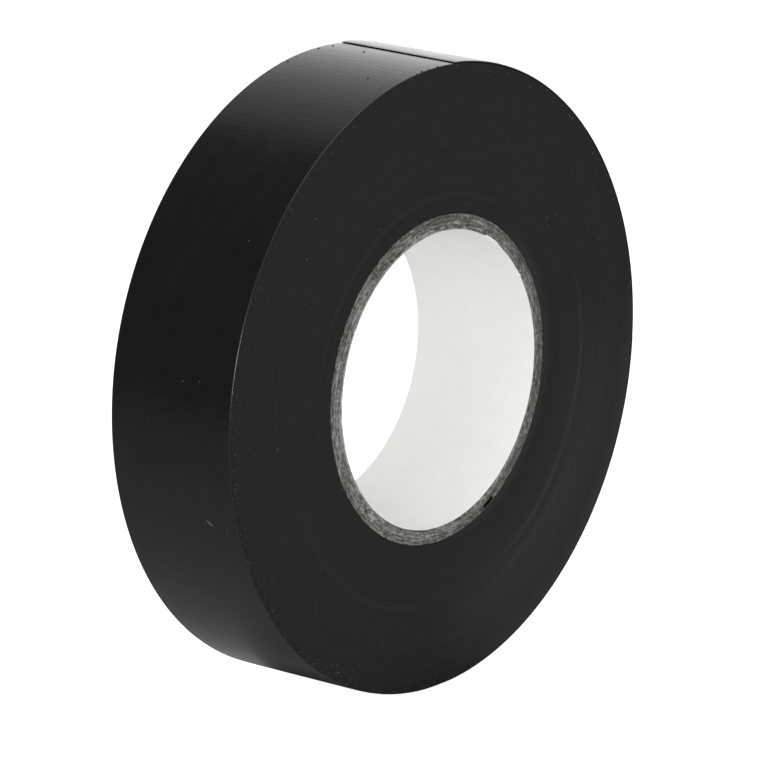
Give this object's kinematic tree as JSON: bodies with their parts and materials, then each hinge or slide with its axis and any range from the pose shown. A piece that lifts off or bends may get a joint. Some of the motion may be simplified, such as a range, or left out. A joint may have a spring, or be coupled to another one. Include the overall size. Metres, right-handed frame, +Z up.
{
  "type": "electrical tape roll",
  "caption": "Roll of black PVC insulating tape wound on a grey board core with a white paper liner, standing on its rim; the free end peels off the roll.",
  "frame": {"origin": "middle of the bore, on the roll's axis and half way between its two sides", "axes": "+Y along the roll's axis, away from the front side, which faces -Y; +Z up, as the roll stands on its rim; the tape's cut end is at the top"},
  "size_m": [0.0798, 0.019, 0.0796],
  "materials": {
    "pvc_tape": "smooth black plasticised PVC film, glossy on its face, matte on the slit edges",
    "grey_board": "grey recycled board, fibrous where it was sawn",
    "liner_paper": "smooth white uncoated paper"
  },
  "bodies": {
    "roll": {"core_liner": "liner_paper", "core_ply_1": "grey_board", "core_ply_2": "grey_board", "core_ply_3": "grey_board", "core_ply_4": "grey_board", "tape_wound_laps": "pvc_tape"},
    "tail_link_01": {"tape_tail_01": "pvc_tape"},
    "tail_link_02": {"tape_tail_02": "pvc_tape"},
    "tail_link_03": {"tape_tail_03": "pvc_tape"},
    "tail_link_04": {"tape_tail_04": "pvc_tape"},
    "tail_link_05": {"tape_tail_05": "pvc_tape"},
    "tail_link_06": {"tape_tail_06": "pvc_tape"},
    "tail_link_07": {"tape_tail_07": "pvc_tape"},
    "tail_link_08": {"tape_tail_08": "pvc_tape"},
    "tail_link_09": {"tape_tail_09": "pvc_tape"},
    "tail_link_10": {"tape_tail_10": "pvc_tape"},
    "tail_link_11": {"tape_tail_11": "pvc_tape"},
    "tail_link_12": {"tape_tail_12": "pvc_tape"}
  },
  "joints": [
    {"name": "tail_peel_01", "type": "hinge", "parent": "roll", "child": "tail_link_01", "pos_m": [0.03978, 0, -0.00261], "axis": [0, 1, 0], "range_deg": [0, 15]},
    {"name": "tail_peel_02", "type": "hinge", "parent": "tail_link_01", "child": "tail_link_02", "pos_m": [0.03978, 0, 0.00261], "axis": [0, 1, 0], "range_deg": [0, 15]},
    {"name": "tail_peel_03", "type": "hinge", "parent": "tail_link_02", "child": "tail_link_03", "pos_m": [0.03911, 0, 0.00778], "axis": [0, 1, 0], "range_deg": [0, 15]},
    {"name": "tail_peel_04", "type": "hinge", "parent": "tail_link_03", "child": "tail_link_04", "pos_m": [0.03776, 0, 0.01282], "axis": [0, 1, 0], "range_deg": [0, 15]},
    {"name": "tail_peel_05", "type": "hinge", "parent": "tail_link_04", "child": "tail_link_05", "pos_m": [0.03577, 0, 0.01764], "axis": [0, 1, 0], "range_deg": [0, 15]},
    {"name": "tail_peel_06", "type": "hinge", "parent": "tail_link_05", "child": "tail_link_06", "pos_m": [0.03316, 0, 0.02216], "axis": [0, 1, 0], "range_deg": [0, 15]},
    {"name": "tail_peel_07", "type": "hinge", "parent": "tail_link_06", "child": "tail_link_07", "pos_m": [0.02999, 0, 0.0263], "axis": [0, 1, 0], "range_deg": [0, 15]},
    {"name": "tail_peel_08", "type": "hinge", "parent": "tail_link_07", "child": "tail_link_08", "pos_m": [0.0263, 0, 0.02999], "axis": [0, 1, 0], "range_deg": [0, 15]},
    {"name": "tail_peel_09", "type": "hinge", "parent": "tail_link_08", "child": "tail_link_09", "pos_m": [0.02216, 0, 0.03317], "axis": [0, 1, 0], "range_deg": [0, 15]},
    {"name": "tail_peel_10", "type": "hinge", "parent": "tail_link_09", "child": "tail_link_10", "pos_m": [0.01765, 0, 0.03578], "axis": [0, 1, 0], "range_deg": [0, 15]},
    {"name": "tail_peel_11", "type": "hinge", "parent": "tail_link_10", "child": "tail_link_11", "pos_m": [0.01283, 0, 0.03778], "axis": [0, 1, 0], "range_deg": [0, 15]},
    {"name": "tail_peel_12", "type": "hinge", "parent": "tail_link_11", "child": "tail_link_12", "pos_m": [0.00779, 0, 0.03914], "axis": [0, 1, 0], "range_deg": [0, 15]}
  ],
  "couplings": [
    {"joint": "tail_peel_02", "follows": "tail_peel_01", "ratio": 1},
    {"joint": "tail_peel_03", "follows": "tail_peel_01", "ratio": 1},
    {"joint": "tail_peel_04", "follows": "tail_peel_01", "ratio": 1},
    {"joint": "tail_peel_05", "follows": "tail_peel_01", "ratio": 1},
    {"joint": "tail_peel_06", "follows": "tail_peel_01", "ratio": 1},
    {"joint": "tail_peel_07", "follows": "tail_peel_01", "ratio": 1},
    {"joint": "tail_peel_08", "follows": "tail_peel_01", "ratio": 1},
    {"joint": "tail_peel_09", "follows": "tail_peel_01", "ratio": 1},
    {"joint": "tail_peel_10", "follows": "tail_peel_01", "ratio": 1},
    {"joint": "tail_peel_11", "follows": "tail_peel_01", "ratio": 1},
    {"joint": "tail_peel_12", "follows": "tail_peel_01", "ratio": 1}
  ]
}
